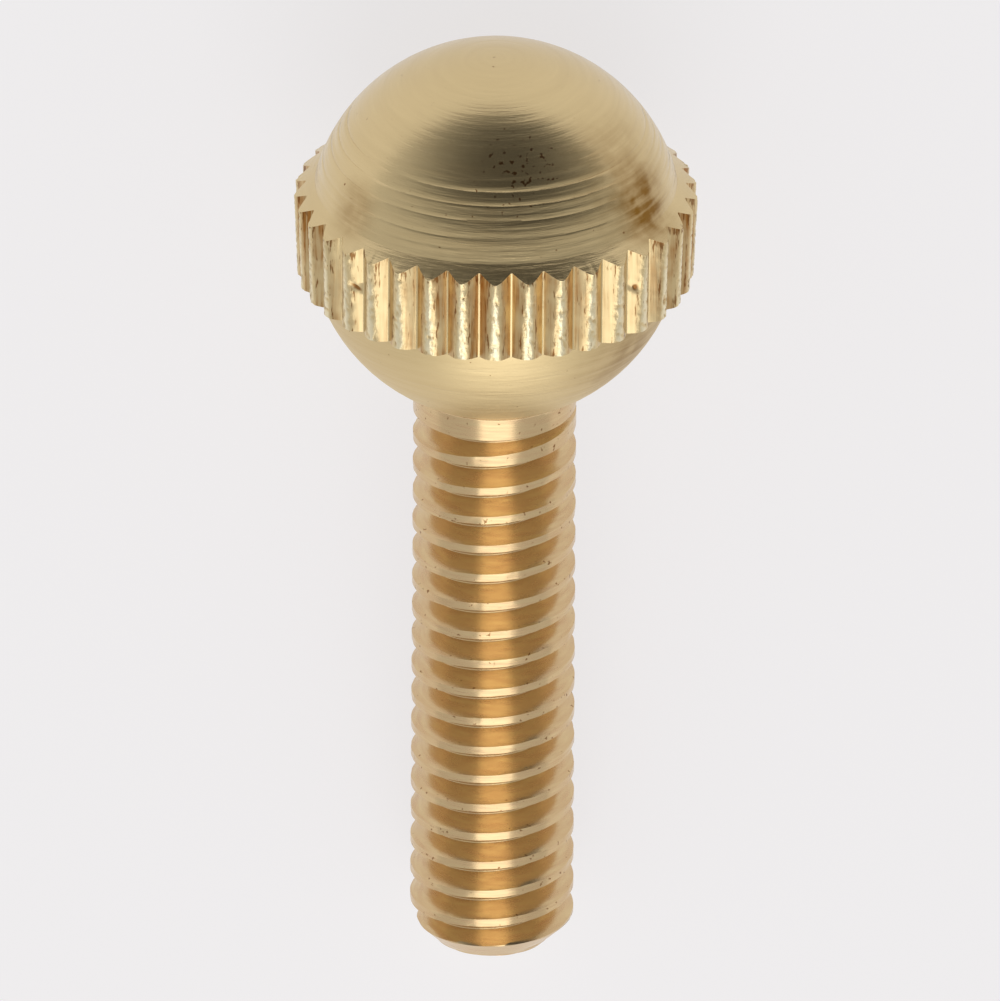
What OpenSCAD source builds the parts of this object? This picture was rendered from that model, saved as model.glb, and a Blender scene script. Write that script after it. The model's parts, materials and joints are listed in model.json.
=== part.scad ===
// Thumb screw with a knurled ball head, turned from round brass bar as one piece.
// It lies as it comes to rest on a table: on two teeth of the grip band and on the
// end of the thread, with the head towards +Y. All sizes are in millimetres.

/* [Ball head] */
// Diameter of the two ball-shaped halves of the head
ball_d = 9.2; // [8.4:0.1:9.6]
// Distance between the centres of the two halves
ball_waist = 0.24; // [0.1:0.02:0.6]

/* [Grip band] */
// Diameter over the teeth at the shoulder
band_d = 9.9; // [9.8:0.05:12]
// How much smaller the diameter over the teeth is at their lower end
band_taper = 0.18; // [0:0.02:0.3]
// Length of the teeth along the axis
band_len = 2.12; // [1.4:0.02:3]
// How far the middle of the teeth lies below the middle of the head
band_drop = 0.1; // [0:0.02:0.3]
// Slope of the turned shoulder above the teeth
shoulder_angle = 34; // [20:1:45]
// Number of teeth
teeth = 37; // [24:1:40]
// Depth of the grooves between the teeth, at the shoulder
groove_depth = 0.27; // [0.2:0.01:0.32]
// Angle between the two sides of a groove
groove_angle = 105; // [80:1:110]

/* [Shank] */
// Diameter over the crests of the thread
thread_d = 4; // [3.6:0.05:5]
// Rise of the thread in one turn, 32 turns to the inch
thread_pitch = 0.79375; // [0.7:0.00625:1]
// Width of the flat crests, left wide by a bar thinner than the thread's nominal size
crest_flat = 0.2; // [0.1:0.01:0.3]
// Width of the flat at the bottom of the thread's groove
root_flat = 0.03; // [0.02:0.01:0.1]
// Length from the underside of the ball to the tip
shank_len = 15.1; // [8:0.1:25]
// Length of the plain neck between the ball and the end of the thread
neck_len = 0.52; // [0.4:0.02:2]
// Length of the 45 degree chamfer at the tip
tip_chamfer = 0.58; // [0.2:0.02:0.8]
// Angle about the axis at which the thread runs out under the ball
runout_angle = 37; // [0:1:359]

/* [Hidden] */

$fn = 96;

// Radii of the turned forms
ball_r = ball_d / 2;
band_r = band_d / 2;
band_low_r = (band_d - band_taper) / 2;
thread_r = thread_d / 2;
tip_r = thread_r - tip_chamfer;

// Heights along the axis, from the middle of the head, tip downwards
top_ball_z = ball_waist / 2;
low_ball_z = -ball_waist / 2;
band_top_z = band_len / 2 - band_drop;
band_low_z = -band_len / 2 - band_drop;
neck_top_z = low_ball_z - sqrt(ball_r * ball_r - thread_r * thread_r);
thread_top_z = neck_top_z - neck_len;
tip_z = neck_top_z - shank_len;
chamfer_z = tip_z + tip_chamfer;

// Shoulder cone, which ends inside the upper ball
shoulder_r = ball_r / 2;
shoulder_h = (band_r - shoulder_r) * tan(shoulder_angle);

// Side of the screw that faces the table, as an angle about its axis
table_side = 90;

// Knurl grooves, straight along the axis, with one of them facing the table
tooth_angle = 360 / teeth;
groove_r = band_r - groove_depth;
groove_slope = tan(groove_angle / 2);
// How far the groove cutters stand out past the teeth
cutter_margin = 0.5;
cutter_h = band_r + cutter_margin - groove_r;

// 60 degree thread form: each flank leans 30 degrees from square to the axis
flank_angle = 30;
root_half_w = root_flat / 2;
thread_depth = (thread_pitch - crest_flat - root_flat) / 2 / tan(flank_angle);
minor_r = thread_r - thread_depth;

// The thread cutter stands just out of the shank, and backs out over its last half turn
cutter_r = thread_r + crest_flat / 4;
clear_r = thread_r + crest_flat / 8;
turn_steps = 32;
runout_steps = turn_steps / 2;
thread_steps = ceil((thread_top_z - tip_z + thread_pitch) / thread_pitch * turn_steps);
// Points around the cutter's section
section_n = 4;

// Distance from the axis, square to the table, at which a groove's sides reach a radius
function groove_reach(r) =
    let (k = groove_slope * groove_slope)
    (groove_r * k + sqrt(r * r * (1 + k) - groove_r * groove_r * k)) / (1 + k);

// Lying pose: two teeth at the band's lower edge and the end of the thread touch the table
rest_r = groove_reach(band_low_r);
lie_angle = atan((rest_r - thread_r) / (band_low_z - chamfer_z));
lie_height = rest_r * cos(lie_angle) - band_low_z * sin(lie_angle);
head_y = top_ball_z * cos(lie_angle) + ball_r;
tip_y = tip_z * cos(lie_angle) - tip_r * sin(lie_angle);
lie_shift = -(head_y + tip_y) / 2;

// Radius of the thread groove's root at a step counted from the tip
function root_r(step) =
    let (back_out = max(0, step - (thread_steps - runout_steps)) / runout_steps)
    minor_r + (clear_r - minor_r) * back_out;

// Cross-section of the thread cutter at a step, as points around the groove
function cutter_section(step) =
    let (
        turns = (step - thread_steps) / turn_steps,
        angle = runout_angle + 360 * turns,
        z = thread_top_z + thread_pitch * turns,
        root = root_r(step),
        mouth_half_w = root_half_w + (cutter_r - root) * tan(flank_angle),
        outline = [
            [root, -root_half_w],
            [cutter_r, -mouth_half_w],
            [cutter_r, mouth_half_w],
            [root, root_half_w]
        ]
    )
    [for (p = outline) [p[0] * cos(angle), p[0] * sin(angle), z + p[1]]];

// Triangles between one section of the thread cutter and the next
function cutter_sides(step) =
    [for (k = [0:section_n - 1])
        let (a = section_n * step + k, b = section_n * step + (k + 1) % section_n)
        each [[a, b, a + section_n], [b, b + section_n, a + section_n]]];

// Helical cutter that leaves a right-hand thread on the shank
module thread_cutter() {
    last = section_n * thread_steps;
    polyhedron(
        points = [for (step = [0:thread_steps]) each cutter_section(step)],
        faces = concat(
            [[3, 2, 1, 0]],
            [for (step = [0:thread_steps - 1]) each cutter_sides(step)],
            [[last, last + 1, last + 2, last + 3]]
        )
    );
}

// Two ball halves that meet inside the grip band
module ball_halves() {
    translate([0, 0, top_ball_z]) sphere(r = ball_r);
    translate([0, 0, low_ball_z]) sphere(r = ball_r);
}

// V-shaped cutter for one knurl groove, with its root along the axis direction
module groove_cutter() {
    translate([0, 0, band_low_z - cutter_margin])
        linear_extrude(band_len + shoulder_h + 2 * cutter_margin)
            polygon([
                [groove_r, 0],
                [groove_r + cutter_h, cutter_h * groove_slope],
                [groove_r + cutter_h, -cutter_h * groove_slope]
            ]);
}

// Raised band with straight teeth and a sloping shoulder above them
module grip_band() {
    difference() {
        union() {
            translate([0, 0, band_low_z]) cylinder(r1 = band_low_r, r2 = band_r, h = band_len);
            translate([0, 0, band_top_z]) cylinder(r1 = band_r, r2 = shoulder_r, h = shoulder_h);
        }
        for (i = [0:teeth - 1])
            rotate([0, 0, table_side + i * tooth_angle]) groove_cutter();
    }
}

// Neck, thread and chamfered tip; the top runs up into the ball
module shank() {
    difference() {
        union() {
            translate([0, 0, chamfer_z]) cylinder(r = thread_r, h = low_ball_z - chamfer_z);
            translate([0, 0, tip_z]) cylinder(r1 = tip_r, r2 = thread_r, h = tip_chamfer);
        }
        thread_cutter();
    }
}

// The whole screw, lying on the table
module thumb_screw() {
    color("#c9a765")
        translate([0, lie_shift, lie_height])
            rotate([lie_angle - 90, 0, 0]) {
                ball_halves();
                grip_band();
                shank();
            }
}

thumb_screw();
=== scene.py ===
import json
import math

import bmesh
import bpy
from mathutils import Euler, Matrix, Vector, noise


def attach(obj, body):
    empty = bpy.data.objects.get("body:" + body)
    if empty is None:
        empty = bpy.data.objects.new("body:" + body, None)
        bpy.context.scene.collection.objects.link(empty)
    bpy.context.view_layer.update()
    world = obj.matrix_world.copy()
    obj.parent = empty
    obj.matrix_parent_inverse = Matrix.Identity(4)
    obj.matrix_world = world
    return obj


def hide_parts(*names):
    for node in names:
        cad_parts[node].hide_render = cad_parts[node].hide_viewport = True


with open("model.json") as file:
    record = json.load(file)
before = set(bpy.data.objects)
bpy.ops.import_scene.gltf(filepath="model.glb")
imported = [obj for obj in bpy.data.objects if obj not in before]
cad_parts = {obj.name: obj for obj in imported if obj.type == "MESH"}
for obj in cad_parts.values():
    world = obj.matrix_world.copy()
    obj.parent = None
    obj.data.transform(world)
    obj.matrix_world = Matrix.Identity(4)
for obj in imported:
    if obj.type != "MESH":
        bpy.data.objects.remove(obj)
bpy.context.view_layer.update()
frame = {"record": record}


# View
# The camera looks down on the lying screw from above its head, so the screw shows upright.
# It is far away for the screw's size, with no perspective to speak of, so its view is parallel.
MM = 0.001
mounts = {mount["name"]: mount for mount in frame["record"]["mounts"]}
tip_end = Vector(mounts["tip"]["pos_m"])
to_tip = Vector(mounts["tip"]["axis"]).normalized()
lie_angle = math.asin(-to_tip.z)

VIEW_RISE = math.radians(27.5)  # above the plane square to the screw's axis
VIEW_ROLL = math.radians(0.35)
PICTURE_H = 24.515 * MM
CAMERA_BACK = 0.2
AIM_FROM_TIP = 11.83 * MM
AIM_RIGHT = 0.145 * MM

camera = bpy.data.objects.new("camera", bpy.data.cameras.new("camera"))
bpy.context.scene.collection.objects.link(camera)
look = Euler((lie_angle - VIEW_RISE, 0, 0)).to_matrix() @ Matrix.Rotation(VIEW_ROLL, 3, "Z")
camera.rotation_euler = look.to_euler()
aim = tip_end - to_tip * AIM_FROM_TIP + Vector((AIM_RIGHT, 0, 0))
camera.location = aim + look @ Vector((0, 0, CAMERA_BACK))
camera.data.type = "ORTHO"
camera.data.ortho_scale = PICTURE_H
camera.data.clip_start = 0.01
camera.data.clip_end = 10
bpy.context.scene.camera = camera
bpy.context.scene.view_settings.view_transform = "Standard"


# Table and studio light
# A plain pale table top in a pale room that is darker beyond the head, which is what the dome
# mirrors in its middle. One soft box stands beyond the tip of the screw.
def linear(hex_colour):
    """An sRGB hex colour as linear red, green, blue and alpha."""
    parts = [int(hex_colour[i : i + 2], 16) / 255 for i in (1, 3, 5)]
    return [c / 12.92 if c <= 0.04045 else ((c + 0.055) / 1.055) ** 2.4 for c in parts] + [1]


def add_node(tree, kind, inputs=None, **settings):
    """Adds a node, with its settings, and links or sets its inputs."""
    node = tree.nodes.new(kind)
    for name, value in settings.items():
        setattr(node, name, value)
    for socket, value in (inputs or {}).items():
        if isinstance(value, bpy.types.NodeSocket):
            tree.links.new(value, node.inputs[socket])
        else:
            node.inputs[socket].default_value = value
    return node


def new_material(name):
    """An empty node material and its output node."""
    material = bpy.data.materials.new(name)
    material.use_nodes = True
    material.node_tree.nodes.clear()
    return material, add_node(material.node_tree, "ShaderNodeOutputMaterial")


def outwards(azimuth, elevation):
    """A direction away from the screw. Azimuth 0 is beyond the head, and 90 is to its right."""
    a, e = math.radians(azimuth), math.radians(elevation)
    return Vector((math.sin(a) * math.cos(e), math.cos(a) * math.cos(e), math.sin(e)))


# Matt white laminate: even and pale. What the camera and the metal see of it is lifted to a
# pale backdrop, and the shadow stays.
TABLE_WHITE = "#FBF9FA"
TABLE_LIFT = 0.72
table_laminate, output = new_material("matt white laminate")
tree = table_laminate.node_tree
path = add_node(tree, "ShaderNodeLightPath")
seen = add_node(
    tree,
    "ShaderNodeMath",
    {0: path.outputs["Is Camera Ray"], 1: path.outputs["Is Glossy Ray"]},
)
seen = add_node(tree, "ShaderNodeMath", {0: seen.outputs[0], 1: path.outputs["Is Transmission Ray"]})
lift = add_node(tree, "ShaderNodeMath", {0: seen.outputs[0], 1: TABLE_LIFT}, operation="MULTIPLY")
matt = add_node(tree, "ShaderNodeBsdfDiffuse", {"Color": linear(TABLE_WHITE)})
glow = add_node(tree, "ShaderNodeEmission", {"Color": linear(TABLE_WHITE)})
both = add_node(
    tree,
    "ShaderNodeMixShader",
    {0: lift.outputs[0], 1: matt.outputs[0], 2: glow.outputs[0]},
)
tree.links.new(both.outputs[0], output.inputs["Surface"])

TABLE_SIZE = Vector((6, 6, 0.04))
slab = bmesh.new()
bmesh.ops.create_cube(slab, size=1)
bmesh.ops.scale(slab, vec=TABLE_SIZE, verts=slab.verts)
bmesh.ops.translate(slab, vec=(0, 0, -TABLE_SIZE.z / 2), verts=slab.verts)
table = bpy.data.objects.new("table", bpy.data.meshes.new("table"))
slab.to_mesh(table.data)
slab.free()
bpy.context.scene.collection.objects.link(table)
table.data.materials.append(table_laminate)

# The room's brightness, by the angle in degrees from its darkest direction
DARKEST = outwards(10, 34)
ROOM_GREYS = (
    (0, 0.085),
    (14, 0.1),
    (27, 0.145),
    (41, 0.265),
    (52, 0.41),
    (62, 0.53),
    (76, 0.62),
    (180, 0.66),
)
room = bpy.data.worlds.new("pale room")
room.use_nodes = True
tree = room.node_tree
place = add_node(tree, "ShaderNodeTexCoord")
near = add_node(
    tree,
    "ShaderNodeVectorMath",
    {0: place.outputs["Generated"], 1: DARKEST},
    operation="DOT_PRODUCT",
)
away = add_node(tree, "ShaderNodeMath", {0: near.outputs["Value"]}, operation="ARCCOSINE")
share = add_node(tree, "ShaderNodeMath", {0: away.outputs[0], 1: math.pi}, operation="DIVIDE")
shades = add_node(tree, "ShaderNodeValToRGB", {"Fac": share.outputs[0]})
greys = shades.color_ramp.elements
while len(greys) < len(ROOM_GREYS):
    greys.new(1)
for stop, (angle, grey) in zip(greys, ROOM_GREYS):
    stop.position = angle / 180
    stop.color = (grey, grey, grey, 1)
tree.links.new(shades.outputs["Color"], tree.nodes["Background"].inputs["Color"])
bpy.context.scene.world = room

# Soft box: an area lamp shines along its own -Z
SOFTBOX_SIDE = outwards(176, 36)
SOFTBOX_DISTANCE = 0.5
SOFTBOX_SIZE = (0.4, 0.58)
SOFTBOX_RADIANCE = 1.2
softbox = bpy.data.objects.new("soft_box", bpy.data.lights.new("soft_box", "AREA"))
bpy.context.scene.collection.objects.link(softbox)
softbox.data.shape = "RECTANGLE"
softbox.data.size, softbox.data.size_y = SOFTBOX_SIZE
softbox.data.energy = SOFTBOX_RADIANCE * math.pi * SOFTBOX_SIZE[0] * SOFTBOX_SIZE[1]
softbox.location = SOFTBOX_SIDE * SOFTBOX_DISTANCE
softbox.rotation_euler = SOFTBOX_SIDE.to_track_quat("Z", "Y").to_euler()
softbox.visible_camera = False


# Shank
# The lower half of the screw is a plain neck and a cut right-hand thread with a chamfered tip,
# all turned on the same brass bar as the head. Sizes are in millimetres, along the screw's own
# axis: Z points from the tip to the dome, and its zero is the middle of the head.
BALL_R = 4.6
BALL_WAIST = 0.24  # distance between the centres of the two ball halves
THREAD_R = 2.0
PITCH = 0.79375
SHANK_LEN = 15.1
NECK_LEN = 0.52
TIP_CHAMFER = 0.58
RUNOUT_ANGLE = math.radians(37)
RUNOUT_TURNS = 0.5
FLANK_SLOPE = math.tan(math.radians(30))
CREST_FLAT = 0.2
ROOT_FLAT = 0.03
THREAD_EASE = 0.001  # rounding of the thread's corners, which the die left sharp
LEAST_CORNER = 0.12  # keeps the form's points apart where the groove runs out
TURN_STEPS = 96

TOP_BALL_Z = BALL_WAIST / 2
LOW_BALL_Z = -BALL_WAIST / 2
NECK_TOP_Z = LOW_BALL_Z - math.sqrt(BALL_R**2 - THREAD_R**2)
THREAD_TOP_Z = NECK_TOP_Z - NECK_LEN
TIP_Z = NECK_TOP_Z - SHANK_LEN
TIP_R = THREAD_R - TIP_CHAMFER
THREAD_DEPTH = (PITCH - CREST_FLAT - ROOT_FLAT) / 2 / FLANK_SLOPE

# The thread form's points, as shares of the way from the middle of the groove to that of the crest
FLANK_END = 0.5
FORM_SHARES = (0, 0.03, 0.12, 0.24, 0.34, 0.4, 0.45, FLANK_END, 0.62, 1)
FORM = [-share for share in reversed(FORM_SHARES[1:])] + list(FORM_SHARES)


def above_zero(x, ease):
    """x where it is above zero and zero below, with the corner between them rounded."""
    return (x + math.sqrt(x * x + ease * ease)) / 2


def form_point(share, cut):
    """Height and radius at a share of the thread form, with the groove cut to a share of its depth."""
    depth, ease = THREAD_DEPTH * cut, THREAD_EASE * cut
    corner = max(ROOT_FLAT / 2 + depth * FLANK_SLOPE, LEAST_CORNER)
    if abs(share) < FLANK_END:
        height = corner * abs(share) / FLANK_END
    else:
        height = corner + (PITCH / 2 - corner) * (abs(share) - FLANK_END) / (1 - FLANK_END)
    up_flank = above_zero((height - ROOT_FLAT / 2) / FLANK_SLOPE, ease)
    return math.copysign(height, share), THREAD_R - above_zero(depth - up_flank, ease)


def around(radius, angle, z):
    """A point at a radius, an angle and a height on the screw's axis."""
    return Vector((radius * math.cos(angle), radius * math.sin(angle), z))


# One turn of the form is spun, and then repeated up the shank with a turn to spare at each end
screw = bmesh.new()
form_step = screw.verts.layers.int.new("form_step")
first_turn = (TIP_Z - THREAD_TOP_Z) / PITCH - 1
turns = math.ceil((NECK_TOP_Z - TIP_Z) / PITCH) + 2
start_angle = RUNOUT_ANGLE + math.tau * first_turn
form = []
for step, share in enumerate(FORM):
    height, radius = form_point(share, 1)
    vert = screw.verts.new(around(radius, start_angle, THREAD_TOP_Z + PITCH * first_turn + height))
    vert[form_step] = step
    form.append(vert)
form_edges = [screw.edges.new(pair) for pair in zip(form, form[1:])]
about_axis = {"cent": (0, 0, 0), "axis": (0, 0, 1)}
bmesh.ops.spin(
    screw,
    geom=form + form_edges,
    dvec=(0, 0, PITCH / TURN_STEPS),
    angle=math.tau,
    steps=TURN_STEPS,
    **about_axis,
)
one_turn = screw.verts[:] + screw.edges[:] + screw.faces[:]
bmesh.ops.spin(
    screw,
    geom=one_turn,
    dvec=(0, 0, PITCH),
    angle=0,
    steps=turns - 1,
    use_duplicate=True,
    **about_axis,
)

# The groove runs out over its last half turn, and the crests are a little torn
CREST_WEAR = 0.03
CREST_WEAR_LENGTH = 0.28
CREST_WEAR_START = 0.4  # share of the form, on the flank
SAME_PLACE = 0.004  # points closer than this are one
for vert in screw.verts:
    share = FORM[vert[form_step]]
    turn = (vert.co.z - form_point(share, 1)[0] - THREAD_TOP_Z) / PITCH
    cut = min(max(-turn / RUNOUT_TURNS, 0), 1)
    height, radius = form_point(share, cut)
    crest_turn = turn + math.copysign(0.5, share)
    crest_cut = min(max(-crest_turn / RUNOUT_TURNS, 0), 1)
    to_crest = (abs(share) - CREST_WEAR_START) / (FLANK_END - CREST_WEAR_START)
    on_crest = min(max(to_crest, 0), 1) * crest_cut
    wear = CREST_WEAR * on_crest * max(0, noise.noise(vert.co / CREST_WEAR_LENGTH))
    z = THREAD_TOP_Z + PITCH * turn + height
    chamfer_r = TIP_R + max(0, z - TIP_Z)
    vert.co = around(min(radius - wear, chamfer_r), math.atan2(vert.co.y, vert.co.x), z)
bmesh.ops.remove_doubles(screw, verts=screw.verts, dist=SAME_PLACE)
screw.verts.layers.int.remove(form_step)

# The spare turns are cut off at the flat tip and just under the ball
bmesh.ops.bisect_plane(
    screw,
    geom=screw.verts[:] + screw.edges[:] + screw.faces[:],
    plane_co=(0, 0, TIP_Z),
    plane_no=(0, 0, 1),
    clear_inner=True,
)
NECK_FILLET = 0.04
bmesh.ops.bisect_plane(
    screw,
    geom=screw.verts[:] + screw.edges[:] + screw.faces[:],
    plane_co=(0, 0, NECK_TOP_Z - NECK_FILLET),
    plane_no=(0, 0, 1),
    clear_outer=True,
)
rims = [edge for edge in screw.edges if edge.is_boundary]
tip_rim = [edge for edge in rims if edge.verts[0].co.z < TIP_Z + TIP_CHAMFER]
neck_rim = [edge for edge in rims if edge.verts[0].co.z > THREAD_TOP_Z]
tip_face = bmesh.ops.edgeloop_fill(screw, edges=tip_rim)["faces"]
bmesh.ops.inset_region(screw, faces=tip_face, thickness=TIP_R / 2)

# The screw's finishes, as the numbers of its material slots
TURNED, DIE_CUT, KNURLED = range(3)
for face in screw.faces:
    face.material_index = DIE_CUT

# The screw's own axes, as it lies on the table
head_middle = tip_end + to_tip * TIP_Z * MM
lie_turn = Euler((lie_angle - math.pi / 2, 0, 0))
lie = Matrix.Translation(head_middle) @ lie_turn.to_matrix().to_4x4() @ Matrix.Scale(MM, 4)

# Bare brass is yellow and mirrors its surroundings, and a thin brown tarnish dulls it where no
# finger or tool rubs. Each finish of the screw is this metal with its own tool marks.
BRASS = "#DFC999"
# The tarnish colour is also the painted shade at the upper end of the knurl.
TARNISH_AND_SHADE = "#80501F"


def start_brass(name):
    """A brass material, its node tree, the screw's own axes in millimetres, and the surface node."""
    material, output = new_material(name)
    tree = material.node_tree
    place = add_node(tree, "ShaderNodeTexCoord")
    own = add_node(
        tree,
        "ShaderNodeMapping",
        {
            "Vector": place.outputs["Object"],
            "Location": head_middle,
            "Rotation": lie_turn,
            "Scale": (MM, MM, MM),
        },
        vector_type="TEXTURE",
    )
    surface = add_node(tree, "ShaderNodeBsdfPrincipled", {"Metallic": 1.0})
    tree.links.new(surface.outputs[0], output.inputs["Surface"])
    return material, tree, own.outputs[0], surface


def tinted(tree, amount, tint_colour=TARNISH_AND_SHADE, under=None):
    """The colour of brass, or of what the socket under gives, below a tint whose amount is a socket,
    which is tarnish on some finishes and painted light on others.
    """
    mix = add_node(tree, "ShaderNodeMix", {"Factor": amount}, data_type="RGBA")
    mix.inputs["A"].default_value = linear(BRASS)
    mix.inputs["B"].default_value = linear(tint_colour)
    if under:
        tree.links.new(under, mix.inputs["A"])
    return mix.outputs["Result"]


def from_axis(tree, own):
    """The distance from the screw's axis, as a socket."""
    flat = add_node(tree, "ShaderNodeVectorMath", {0: own, 1: (1, 1, 0)}, operation="MULTIPLY")
    length = add_node(tree, "ShaderNodeVectorMath", {0: flat.outputs[0]}, operation="LENGTH")
    return length.outputs["Value"]


# Die-cut thread: bright from the cutting edge, with fine lines along the helix, a reddish film and
# dark specks near the crests. The specks start at a depth below the crests and are most
# frequent from a lesser one. Where the specks' noise passes the speck range, the metal is dark.
THREAD_FILM = "#B0604C"
THREAD_FILM_MOST = 0.4
CUT_ROUGHNESS = (0.16, 0.34)
CUT_LINE = 0.06
CUT_LINE_LENGTH = 0.8
CUT_DEPTH = 0.0025
CREST_SPECK = 0.13
SPECK_DEPTHS = (0.12, 0.05)
SPECK_GAIN = 0.1
SPECK_RANGE = (0.77, 0.82)
SPECK_MOST = 0.8
thread_brass, tree, own, surface = start_brass("die-cut brass")
stretch = (1 / CUT_LINE_LENGTH, 1 / CUT_LINE_LENGTH, 1 / CUT_LINE)
along = add_node(tree, "ShaderNodeVectorMath", {0: own, 1: stretch}, operation="MULTIPLY")
lines = add_node(tree, "ShaderNodeTexNoise", {"Vector": along.outputs[0], "Scale": 1, "Detail": 2})
bump = add_node(tree, "ShaderNodeBump", {"Height": lines.outputs["Fac"], "Distance": CUT_DEPTH * MM})
tree.links.new(bump.outputs[0], surface.inputs["Normal"])
dull = add_node(
    tree,
    "ShaderNodeMapRange",
    {"Value": lines.outputs["Fac"], "To Min": CUT_ROUGHNESS[0], "To Max": CUT_ROUGHNESS[1]},
)
tree.links.new(dull.outputs[0], surface.inputs["Roughness"])
tint = add_node(tree, "ShaderNodeMapRange", {"Value": lines.outputs["Fac"], "To Max": THREAD_FILM_MOST})
filmed = tinted(tree, tint.outputs[0], THREAD_FILM)
on_crest = add_node(
    tree,
    "ShaderNodeMapRange",
    {
        "Value": from_axis(tree, own),
        "From Min": THREAD_R - SPECK_DEPTHS[0],
        "From Max": THREAD_R - SPECK_DEPTHS[1],
        "To Max": SPECK_GAIN,
    },
)
specks = add_node(tree, "ShaderNodeTexNoise", {"Vector": own, "Scale": 1 / CREST_SPECK, "Detail": 2})
torn = add_node(tree, "ShaderNodeMath", {0: specks.outputs["Fac"], 1: on_crest.outputs[0]})
torn = add_node(
    tree,
    "ShaderNodeMapRange",
    {
        "Value": torn.outputs[0],
        "From Min": SPECK_RANGE[0],
        "From Max": SPECK_RANGE[1],
        "To Max": SPECK_MOST,
    },
)
tree.links.new(tinted(tree, torn.outputs[0], under=filmed), surface.inputs["Base Color"])


# Head
# Two turned ball halves with a straight-knurled band between them. The knurl's grooves run along
# the axis, the teeth are left with narrow torn lands, and a sloping shoulder is turned above them.
BAND_TOP_R = 4.95
BAND_LOW_R = 4.86
BAND_TOP_Z = 0.96
BAND_LOW_Z = -1.16
SHOULDER_SLOPE = math.tan(math.radians(34))
TEETH = 37
GROOVE_R = 4.65
GROOVE_SLOPE = math.tan(math.radians(96 / 2))
GROOVE_FLAT = 0.02  # half the width of a groove's flat root
LAND_EASE = 0.09  # rounding of the lands
TABLE_SIDE = math.pi / 2

TOOTH_ANGLE = math.tau / TEETH
OUTLINE_SHARES = (0, 0.2, 0.4, 0.55, 0.68, 0.8, 0.9, 1)
BAND_ROWS = 30
SHOULDER_ROWS = 3
DOME_ROWS = 22
LOW_BALL_ROWS = 14


def crest_radius(z):
    """Radius over the lands, which taper towards the tip."""
    share = (z - BAND_LOW_Z) / (BAND_TOP_Z - BAND_LOW_Z)
    return BAND_LOW_R + (BAND_TOP_R - BAND_LOW_R) * share


def side_radius(angle):
    """Radius of a groove's straight side, at an angle from the middle of the groove."""
    away = abs(angle) - GROOVE_FLAT / GROOVE_R
    return GROOVE_R / (math.cos(away) - math.sin(away) / GROOVE_SLOPE)


def tooth_outline(z):
    """Angle and radius of the points from one groove's middle to the next, at a height on the band."""
    crest = crest_radius(z)
    flat, middle = GROOVE_FLAT / GROOVE_R, TOOTH_ANGLE / 2
    blunting = above_zero(crest - side_radius(middle), LAND_EASE)
    half = []
    for share in OUTLINE_SHARES:
        angle = flat + (middle - flat) * share
        radius = crest + blunting - above_zero(crest - side_radius(angle), LAND_EASE)
        half.append((angle, max(radius, GROOVE_R)))
    return half + [(TOOTH_ANGLE - angle, radius) for angle, radius in reversed(half[:-1])]


SPOKES = len(tooth_outline(BAND_LOW_Z))
spoke = screw.verts.layers.int.new("spoke")


def grow_ring(ring, place, finish=TURNED):
    """Extrudes a ring of edges and puts each new vertex where place says for its spoke."""
    grown = bmesh.ops.extrude_edge_only(screw, edges=ring)["geom"]
    verts = {item for item in grown if isinstance(item, bmesh.types.BMVert)}
    for vert in verts:
        vert.co = place(vert[spoke])
    for face in (item for item in grown if isinstance(item, bmesh.types.BMFace)):
        face.material_index = finish
    return [item for item in grown if isinstance(item, bmesh.types.BMEdge) and set(item.verts) <= verts]


low_outline = tooth_outline(BAND_LOW_Z)
top_outline = tooth_outline(BAND_TOP_Z)


def spoke_angle(number, outline):
    """The angle round the axis of a spoke, on a tooth outline."""
    tooth, point = divmod(number, SPOKES)
    return TABLE_SIDE + tooth * TOOTH_ANGLE + outline[point][0]


def ball_place(centre_z, polar, outline, depth=0):
    """A place function for a ring on a ball half, at an angle from the dome's end of the axis."""
    radius, z = (BALL_R - depth) * math.sin(polar), centre_z + (BALL_R - depth) * math.cos(polar)
    return lambda number: around(radius, spoke_angle(number, outline), z)


# Lower ball half, from the neck up to the flat underside of the band
neck_polar = math.pi - math.asin((THREAD_R + NECK_FILLET) / BALL_R)
under_polar = math.acos((BAND_LOW_Z - LOW_BALL_Z) / BALL_R)
circle = bmesh.ops.create_circle(screw, segments=TEETH * SPOKES, radius=THREAD_R)["verts"]
place = ball_place(LOW_BALL_Z, neck_polar, low_outline)
for number, vert in enumerate(circle):
    vert[spoke] = number
    vert.co = place(number)
ring = list({edge for vert in circle for edge in vert.link_edges})
bmesh.ops.bridge_loops(screw, edges=ring + neck_rim)
for row in range(1, LOW_BALL_ROWS + 1):
    polar = neck_polar + (under_polar - neck_polar) * row / LOW_BALL_ROWS
    ring = grow_ring(ring, ball_place(LOW_BALL_Z, polar, low_outline))

# Grip band: the teeth, from the underside to the sloping shoulder, torn and nicked on their lands.
# A nick has an angle round the axis, a height, a width, a length, a slant and a depth.
LAND_TEAR = 0.06
LAND_TEAR_LENGTH = 0.1
NICKS = (
    (math.radians(224.3), 0.06, 0.06, 0.16, math.radians(50), 0.14),
    (math.radians(316), 0.1, 0.07, 0.1, 0, 0.16),
)


def nick_depth(point, angle):
    """How deep the nicks are at a point of the band."""
    deepest = 0
    for nick_angle, nick_z, width, length, slant, depth in NICKS:
        across = (angle - nick_angle) % math.tau
        across = (across - math.tau if across > math.pi else across) * BAND_TOP_R
        up = point.z - nick_z
        u = (across * math.cos(slant) + up * math.sin(slant)) / width
        w = (up * math.cos(slant) - across * math.sin(slant)) / length
        deepest = max(deepest, depth * math.exp(-u * u - w * w))
    return deepest


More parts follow.
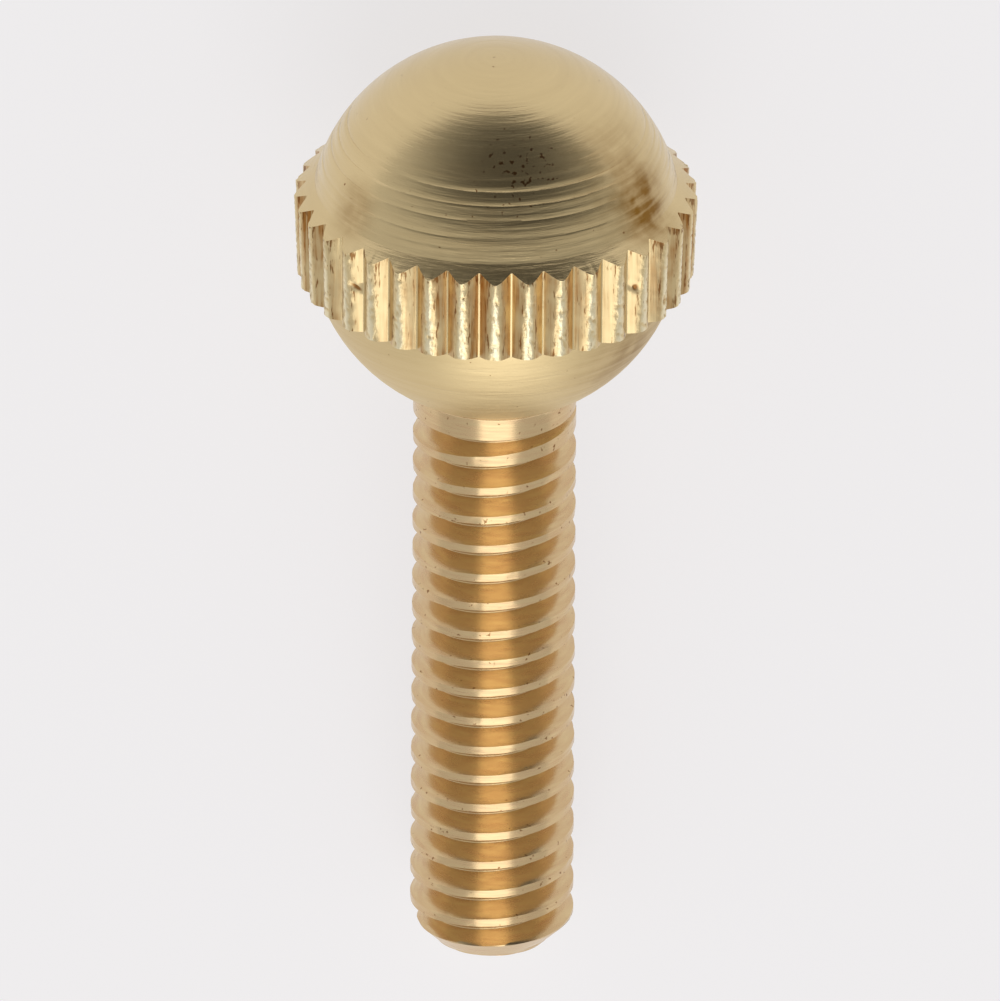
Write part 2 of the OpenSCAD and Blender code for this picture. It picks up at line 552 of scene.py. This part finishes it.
def tooth_place(share):
    """A place function for a row of the band, at a share of the teeth's height."""
    z = BAND_LOW_Z + (BAND_TOP_Z - BAND_LOW_Z) * share
    outline = tooth_outline(z)

    def place(number):
        radius, angle = outline[number % SPOKES][1], spoke_angle(number, outline)
        top = BAND_TOP_Z + (BAND_TOP_R - radius) * SHOULDER_SLOPE
        point = around(radius, angle, BAND_LOW_Z + (top - BAND_LOW_Z) * share)
        up_tooth = (radius - GROOVE_R) / (crest_radius(z) - GROOVE_R)
        tear = LAND_TEAR * up_tooth**2 * max(0, noise.noise(point / LAND_TEAR_LENGTH))
        worn = max(GROOVE_R, radius - tear - nick_depth(point, angle) * up_tooth)
        return around(worn, angle, point.z)

    return place


ring = grow_ring(ring, tooth_place(0))
for row in range(1, BAND_ROWS + 1):
    ring = grow_ring(ring, tooth_place(row / BAND_ROWS), KNURLED)

# Shoulder cone, up to the foot of the dome, where the cone meets the upper ball half. The radius of
# the foot is found to a thousandth of a millimetre.
foot_r = BAND_TOP_R
while math.hypot(foot_r, BAND_TOP_Z + (BAND_TOP_R - foot_r) * SHOULDER_SLOPE - TOP_BALL_Z) > BALL_R:
    foot_r -= 0.001


def shoulder_place(share):
    """A place function for a ring on the shoulder, at a share of the way to the dome."""

    def place(number):
        radius = top_outline[number % SPOKES][1]
        radius += (foot_r - radius) * share
        z = BAND_TOP_Z + (BAND_TOP_R - radius) * SHOULDER_SLOPE
        return around(radius, spoke_angle(number, top_outline), z)

    return place


for row in range(1, SHOULDER_ROWS + 1):
    ring = grow_ring(ring, shoulder_place(row / SHOULDER_ROWS))

# Upper ball half, from the shoulder to the pole, with the deepest of the tool's lines.
# A line has an angle from the pole in degrees, a width and a depth, which is uneven along the line.
TOOL_LINES = (
    (72.9, 0.12, 0.013),
    (70.8, 0.1, 0.012),
    (67.6, 0.07, 0.015),
    (65.0, 0.05, 0.004),
    (62.1, 0.08, 0.022),
    (59.9, 0.05, 0.004),
    (57.3, 0.07, 0.022),
    (55.2, 0.05, 0.005),
    (52.9, 0.06, 0.02),
    (49.5, 0.05, 0.004),
    (46.3, 0.05, 0.004),
)
LINE_WAVER = 2.5  # length of a deep or shallow stretch
LINE_SHARE = 0.8  # share of its depth that a line has on average


def dome_place(polar, depth):
    """A place function for a ring on the dome, along which a tool line may run."""
    plain = ball_place(TOP_BALL_Z, polar, top_outline)

    def place(number):
        dip = depth * max(0, LINE_SHARE + noise.noise(plain(number) / LINE_WAVER))
        return ball_place(TOP_BALL_Z, polar, top_outline, dip)(number)

    return place


foot_polar = math.asin(foot_r / BALL_R)
dome_rows = [(foot_polar * (1 - row / DOME_ROWS), 0) for row in range(1, DOME_ROWS)]
for line, width, depth in TOOL_LINES:
    half = width / 2 / BALL_R
    middle = math.radians(line)
    dome_rows = [row for row in dome_rows if abs(row[0] - middle) > half * 1.5]
    dome_rows += [(middle + half, 0), (middle, depth), (middle - half, 0)]
for polar, depth in sorted(dome_rows, reverse=True):
    ring = grow_ring(ring, dome_place(polar, depth))
pole = grow_ring(ring, ball_place(TOP_BALL_Z, 0, top_outline))
pole_verts = list({vert for edge in pole for vert in edge.verts})
bmesh.ops.remove_doubles(screw, verts=pole_verts, dist=SAME_PLACE)

# Turned ball halves: satin, with fine lines round the axis that the tool left and that are worn
# towards the pole. Brown reflections are painted low on the dome and at the right, and the metal
# is pitted near the dome's front. A painted reflection has a place on the screw's own axes, a radius
# and a strength. Pits lie where the specks' noise passes a limit, which is lowest amid the pitted
# place.
LINE_SPACING = 0.2
LINE_LENGTH = 2.8
LINE_DEPTH = 0.028
LINE_FILM = 0.14
LINE_ROUGHNESS = 0.16  # comes on top of the ball's own
DOME_ROUGHNESS = 0.16
LOW_BALL_ROUGHNESS = 0.4
WORN_TO, CRISP_FROM = math.radians(30), math.radians(58)
WORN_SHARE = 0.35
# Brown of the tool lines' film and of the painted reflections of the surroundings
FILM_AND_REFLECTION_BROWN = "#866024"
PAINTED_REFLECTIONS = (
    ((0, -3.6, 2.4), 3.5, 0.16),
    ((3.7, -2.2, 1.75), 1.5, 0.6),
    ((3.1, -2.3, 2.5), 2.6, 0.34),
    ((-3.5, -2.5, 1.75), 1.1, 0.42),
    ((3.2, -2.5, -2.1), 2.4, 0.44),
)
REFLECTION_GRAIN = 0.5
BREAKUP_RANGE = (0.8, 1.2)
BREAKUP_SHARES = (0.65, 1.35)
PITTED = Vector((0.6, -3.2, 3.4))
PITTED_R = 1.8
PIT_SPACING = 0.13
PIT_LIMITS = (0.56, 0.74)
PIT_EDGE = 0.05
PIT_MOST = 0.9
turned_brass, tree, own, surface = start_brass("turned brass")
apart = add_node(tree, "ShaderNodeSeparateXYZ", {0: own})
polar = add_node(
    tree,
    "ShaderNodeMath",
    {0: from_axis(tree, own), 1: apart.outputs["Z"]},
    operation="ARCTAN2",
)
down_ball = add_node(
    tree,
    "ShaderNodeMath",
    {0: polar.outputs[0], 1: BALL_R / LINE_SPACING},
    operation="MULTIPLY",
)
across = add_node(tree, "ShaderNodeVectorMath", {0: own, "Scale": 1 / LINE_LENGTH}, operation="SCALE")
across_parts = add_node(tree, "ShaderNodeSeparateXYZ", {0: across.outputs[0]})
turning = add_node(
    tree,
    "ShaderNodeCombineXYZ",
    {"X": across_parts.outputs["X"], "Y": across_parts.outputs["Y"], "Z": down_ball.outputs[0]},
)
lines = add_node(
    tree,
    "ShaderNodeTexNoise",
    {"Vector": turning.outputs[0], "Scale": 1, "Detail": 4, "Roughness": 0.6},
)
crisp = add_node(
    tree,
    "ShaderNodeMapRange",
    {"Value": polar.outputs[0], "From Min": WORN_TO, "From Max": CRISP_FROM, "To Min": WORN_SHARE},
)
bump = add_node(
    tree,
    "ShaderNodeBump",
    {"Strength": crisp.outputs[0], "Height": lines.outputs["Fac"], "Distance": LINE_DEPTH * MM},
)
tree.links.new(bump.outputs[0], surface.inputs["Normal"])
least_dull = add_node(
    tree,
    "ShaderNodeMapRange",
    {
        "Value": apart.outputs["Z"],
        "From Min": BAND_LOW_Z,
        "From Max": BAND_TOP_Z,
        "To Min": LOW_BALL_ROUGHNESS,
        "To Max": DOME_ROUGHNESS,
    },
)
dull = add_node(
    tree,
    "ShaderNodeMath",
    {0: lines.outputs["Fac"], 1: LINE_ROUGHNESS, 2: least_dull.outputs[0]},
    operation="MULTIPLY_ADD",
)
tree.links.new(dull.outputs[0], surface.inputs["Roughness"])
specks = add_node(tree, "ShaderNodeTexNoise", {"Vector": own, "Scale": 1 / PIT_SPACING, "Detail": 2})
from_pitted = add_node(tree, "ShaderNodeVectorMath", {0: own, 1: PITTED}, operation="DISTANCE")
pitting = add_node(
    tree,
    "ShaderNodeMapRange",
    {
        "Value": from_pitted.outputs["Value"],
        "From Max": PITTED_R,
        "To Min": PIT_LIMITS[0],
        "To Max": PIT_LIMITS[1],
    },
)
pits = add_node(
    tree,
    "ShaderNodeMath",
    {0: specks.outputs["Fac"], 1: pitting.outputs[0]},
    operation="SUBTRACT",
)
pits = add_node(
    tree,
    "ShaderNodeMapRange",
    {"Value": pits.outputs[0], "From Max": PIT_EDGE, "To Max": PIT_MOST},
)
tint = add_node(tree, "ShaderNodeMapRange", {"Value": lines.outputs["Fac"], "To Max": LINE_FILM})
mottle = add_node(tree, "ShaderNodeTexNoise", {"Vector": own, "Scale": 1 / REFLECTION_GRAIN, "Detail": 3})
breakup = add_node(tree, "ShaderNodeMath", {0: mottle.outputs["Fac"], 1: lines.outputs["Fac"]})
uneven = add_node(
    tree,
    "ShaderNodeMapRange",
    {
        "Value": breakup.outputs[0],
        "From Min": BREAKUP_RANGE[0],
        "From Max": BREAKUP_RANGE[1],
        "To Min": BREAKUP_SHARES[0],
        "To Max": BREAKUP_SHARES[1],
    },
)
# Each painted reflection is a brown patch, broken up by the mottle and the tool lines
for middle, reach, strength in PAINTED_REFLECTIONS:
    away = add_node(tree, "ShaderNodeVectorMath", {0: own, 1: middle}, operation="DISTANCE")
    painted_reflection = add_node(
        tree,
        "ShaderNodeMapRange",
        {"Value": away.outputs["Value"], "From Max": reach, "To Min": strength, "To Max": 0},
        interpolation_type="SMOOTHSTEP",
    )
    tint = add_node(
        tree,
        "ShaderNodeMath",
        {0: painted_reflection.outputs[0], 1: uneven.outputs[0], 2: tint.outputs[0]},
        operation="MULTIPLY_ADD",
    )
film_and_reflections = tinted(tree, tint.outputs[0], FILM_AND_REFLECTION_BROWN)
tree.links.new(tinted(tree, pits.outputs[0], under=film_and_reflections), surface.inputs["Base Color"])

# Knurled band: the rolled groove sides have streaks along the axis and painted brown shade. The lands
# are torn, so that they glitter, and carry a painted highlight; dark flecks lie along the axis, the
# lands' edges and the nicks' floors are darker, and painted shade lies at the lands' upper ends.
# A share up a tooth is 0 at the groove's root and 1 on the land. Of a pair of values, the first is
# where something begins to change, or its amount there, and the second is where the change ends.
# Pale colour of the painted highlight on the lands
LAND_HIGHLIGHT = "#EFE2BE"
HIGHLIGHT_UP = (0.88, 0.98)
HIGHLIGHT_Z = (0.2, 0.8)
HIGHLIGHT_SHARES = (1.0, 0.25)
# Brown of the painted shade on the groove sides
KNURL_BROWN = "#A8743A"
KNURL_ROUGHNESS = (0.2, 0.46)
SIDE_START = (0.02, 0.1)
SIDE_END = (0.7, 0.92)
STREAK_W = 0.09
STREAK_LENGTH = 1.3
STREAK_DEPTH = 0.006
STREAK_RANGE = (0.38, 0.66)
STREAK_SHADE = (0.2, 0.62)
FRONT_X = (1.5, 3.0)
FRONT_SHADE = (1.0, 0.3)
SIDEWAYS_X = (3.6, 4.5)
SIDEWAYS_SHADE = 1.1
PATCH_GRAIN = 0.7
PATCH_RANGE = (0.35, 0.65)
PATCH_SHADE = (0.4, 1.6)
TORN_GRAIN = 0.08
TORN_DEPTH = 0.014
TORN_UP = (0.6, 0.85)
DIRT_W = 0.06
DIRT_LENGTH = 0.4
DARK_EDGE_UP = 0.7
DARK_EDGE_REACH = 0.25
DARK_EDGE_GAIN = 0.12
# Painted shade at the band's upper end
SHADE_TOP_Z = (BAND_TOP_Z - 0.2, BAND_TOP_Z)
SHADE_TOP_GAIN = 0.1
DIRT_AND_SHADE_RANGE = (0.66, 0.75)
DIRT_AND_SHADE_MOST = 0.85
NICK_REACH = (0.6, 1.1)
NICK_DARK = 0.9
knurled_brass, tree, own, surface = start_brass("knurled brass")
apart = add_node(tree, "ShaderNodeSeparateXYZ", {0: own})
crest = add_node(
    tree,
    "ShaderNodeMapRange",
    {
        "Value": apart.outputs["Z"],
        "From Min": BAND_LOW_Z,
        "From Max": BAND_TOP_Z,
        "To Min": BAND_LOW_R,
        "To Max": BAND_TOP_R,
    },
)
up_tooth = add_node(
    tree,
    "ShaderNodeMapRange",
    {"Value": from_axis(tree, own), "From Min": GROOVE_R, "From Max": crest.outputs[0]},
)
land = add_node(
    tree,
    "ShaderNodeMapRange",
    {"Value": up_tooth.outputs[0], "From Min": TORN_UP[0], "From Max": TORN_UP[1]},
)
stretch = (1 / STREAK_W, 1 / STREAK_W, 1 / STREAK_LENGTH)
along = add_node(tree, "ShaderNodeVectorMath", {0: own, 1: stretch}, operation="MULTIPLY")
streaks = add_node(tree, "ShaderNodeTexNoise", {"Vector": along.outputs[0], "Scale": 1, "Detail": 2})
torn = add_node(tree, "ShaderNodeTexNoise", {"Vector": own, "Scale": 1 / TORN_GRAIN, "Detail": 3})
smooth_bump = add_node(
    tree,
    "ShaderNodeBump",
    {"Height": streaks.outputs["Fac"], "Distance": STREAK_DEPTH * MM},
)
bump = add_node(
    tree,
    "ShaderNodeBump",
    {
        "Strength": land.outputs[0],
        "Height": torn.outputs["Fac"],
        "Distance": TORN_DEPTH * MM,
        "Normal": smooth_bump.outputs[0],
    },
)
tree.links.new(bump.outputs[0], surface.inputs["Normal"])
dull = add_node(
    tree,
    "ShaderNodeMapRange",
    {"Value": streaks.outputs["Fac"], "To Min": KNURL_ROUGHNESS[0], "To Max": KNURL_ROUGHNESS[1]},
)
tree.links.new(dull.outputs[0], surface.inputs["Roughness"])

# Painted brown shade: on the groove sides only, streaky and patchy, most in front and far left and
# right
off_root = add_node(
    tree,
    "ShaderNodeMapRange",
    {"Value": up_tooth.outputs[0], "From Min": SIDE_START[0], "From Max": SIDE_START[1]},
)
low_side = add_node(
    tree,
    "ShaderNodeMapRange",
    {
        "Value": up_tooth.outputs[0],
        "From Min": SIDE_END[0],
        "From Max": SIDE_END[1],
        "To Min": 1.0,
        "To Max": 0.0,
    },
)
streaky = add_node(
    tree,
    "ShaderNodeMapRange",
    {
        "Value": streaks.outputs["Fac"],
        "From Min": STREAK_RANGE[0],
        "From Max": STREAK_RANGE[1],
        "To Min": STREAK_SHADE[0],
        "To Max": STREAK_SHADE[1],
    },
)
# Painted shade by left and right on the screw's own axes: most in front and at the far left and right
off_front = add_node(tree, "ShaderNodeMath", {0: apart.outputs["X"]}, operation="ABSOLUTE")
front_shade = add_node(
    tree,
    "ShaderNodeMapRange",
    {
        "Value": off_front.outputs[0],
        "From Min": FRONT_X[0],
        "From Max": FRONT_X[1],
        "To Min": FRONT_SHADE[0],
        "To Max": FRONT_SHADE[1],
    },
)
side_shade = add_node(
    tree,
    "ShaderNodeMapRange",
    {
        "Value": off_front.outputs[0],
        "From Min": SIDEWAYS_X[0],
        "From Max": SIDEWAYS_X[1],
        "To Max": SIDEWAYS_SHADE,
    },
)
painted_wall_shade = add_node(tree, "ShaderNodeMath", {0: front_shade.outputs[0], 1: side_shade.outputs[0]})
patches = add_node(tree, "ShaderNodeTexNoise", {"Vector": own, "Scale": 1 / PATCH_GRAIN, "Detail": 2})
patchy = add_node(
    tree,
    "ShaderNodeMapRange",
    {
        "Value": patches.outputs["Fac"],
        "From Min": PATCH_RANGE[0],
        "From Max": PATCH_RANGE[1],
        "To Min": PATCH_SHADE[0],
        "To Max": PATCH_SHADE[1],
    },
)
tint = off_root
for part in (low_side, streaky, painted_wall_shade, patchy):
    tint = add_node(
        tree,
        "ShaderNodeMath",
        {0: tint.outputs[0], 1: part.outputs[0]},
        operation="MULTIPLY",
    )

# Painted highlight on the lands: palest on their lower part
low_land = add_node(
    tree,
    "ShaderNodeMapRange",
    {
        "Value": apart.outputs["Z"],
        "From Min": HIGHLIGHT_Z[0],
        "From Max": HIGHLIGHT_Z[1],
        "To Min": HIGHLIGHT_SHARES[0],
        "To Max": HIGHLIGHT_SHARES[1],
    },
)
on_top = add_node(
    tree,
    "ShaderNodeMapRange",
    {
        "Value": up_tooth.outputs[0],
        "From Min": HIGHLIGHT_UP[0],
        "From Max": HIGHLIGHT_UP[1],
        "To Max": low_land.outputs[0],
    },
)
highlighted = tinted(tree, on_top.outputs[0], LAND_HIGHLIGHT)
streaked = tinted(tree, tint.outputs[0], KNURL_BROWN, under=highlighted)

# Dark marks: thin dark flecks along the axis, darker lands' edges and nicks' floors, and painted
# shade at the lands' upper ends
from_edge = add_node(tree, "ShaderNodeMath", {0: up_tooth.outputs[0], 1: DARK_EDGE_UP}, operation="SUBTRACT")
from_edge = add_node(tree, "ShaderNodeMath", {0: from_edge.outputs[0]}, operation="ABSOLUTE")
at_edge = add_node(
    tree,
    "ShaderNodeMapRange",
    {
        "Value": from_edge.outputs[0],
        "From Max": DARK_EDGE_REACH,
        "To Min": DARK_EDGE_GAIN,
        "To Max": 0.0,
    },
)
stretch = (1 / DIRT_W, 1 / DIRT_W, 1 / DIRT_LENGTH)
along = add_node(tree, "ShaderNodeVectorMath", {0: own, 1: stretch}, operation="MULTIPLY")
flecks = add_node(tree, "ShaderNodeTexNoise", {"Vector": along.outputs[0], "Scale": 1, "Detail": 3})
# Painted shade at the upper end of the teeth
shade_at_top = add_node(
    tree,
    "ShaderNodeMapRange",
    {
        "Value": apart.outputs["Z"],
        "From Min": SHADE_TOP_Z[0],
        "From Max": SHADE_TOP_Z[1],
        "To Max": SHADE_TOP_GAIN,
    },
)
dirt_and_shade = add_node(tree, "ShaderNodeMath", {0: flecks.outputs["Fac"], 1: at_edge.outputs[0]})
dirt_and_shade = add_node(tree, "ShaderNodeMath", {0: dirt_and_shade.outputs[0], 1: shade_at_top.outputs[0]})
dirt_and_shade = add_node(
    tree,
    "ShaderNodeMapRange",
    {
        "Value": dirt_and_shade.outputs[0],
        "From Min": DIRT_AND_SHADE_RANGE[0],
        "From Max": DIRT_AND_SHADE_RANGE[1],
        "To Max": DIRT_AND_SHADE_MOST,
    },
)
for nick_angle, nick_z, width, length, slant, _ in NICKS:
    nick = add_node(
        tree,
        "ShaderNodeMapping",
        {
            "Vector": own,
            "Location": around((BAND_TOP_R + GROOVE_R) / 2, nick_angle, nick_z),
            "Rotation": (slant, 0, nick_angle),
            "Scale": (BAND_TOP_R - GROOVE_R, width, length),
        },
        vector_type="TEXTURE",
    )
    from_nick = add_node(tree, "ShaderNodeVectorMath", {0: nick.outputs[0]}, operation="LENGTH")
    in_nick = add_node(
        tree,
        "ShaderNodeMapRange",
        {
            "Value": from_nick.outputs["Value"],
            "From Min": NICK_REACH[0],
            "From Max": NICK_REACH[1],
            "To Min": NICK_DARK,
            "To Max": 0.0,
        },
    )
    dirt_and_shade = add_node(
        tree,
        "ShaderNodeMath",
        {0: dirt_and_shade.outputs[0], 1: in_nick.outputs[0]},
        operation="MAXIMUM",
    )
tree.links.new(tinted(tree, dirt_and_shade.outputs[0], under=streaked), surface.inputs["Base Color"])

# The whole screw as one smooth mesh, with its sharp edges kept
SHARP_EDGE = math.radians(38)
screw.verts.layers.int.remove(spoke)
bmesh.ops.recalc_face_normals(screw, faces=screw.faces)
for face in screw.faces:
    face.smooth = True
bmesh.ops.transform(screw, matrix=lie, verts=screw.verts)
mesh = bpy.data.meshes.new("thumb_screw_turned")
screw.to_mesh(mesh)
screw.free()
mesh.set_sharp_from_angle(angle=SHARP_EDGE)
finishes = {TURNED: turned_brass, DIE_CUT: thread_brass, KNURLED: knurled_brass}
for slot in sorted(finishes):
    mesh.materials.append(finishes[slot])
thumb_screw = bpy.data.objects.new("thumb_screw_turned", mesh)
bpy.context.scene.collection.objects.link(thumb_screw)
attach(thumb_screw, "root")
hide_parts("thumb_screw")
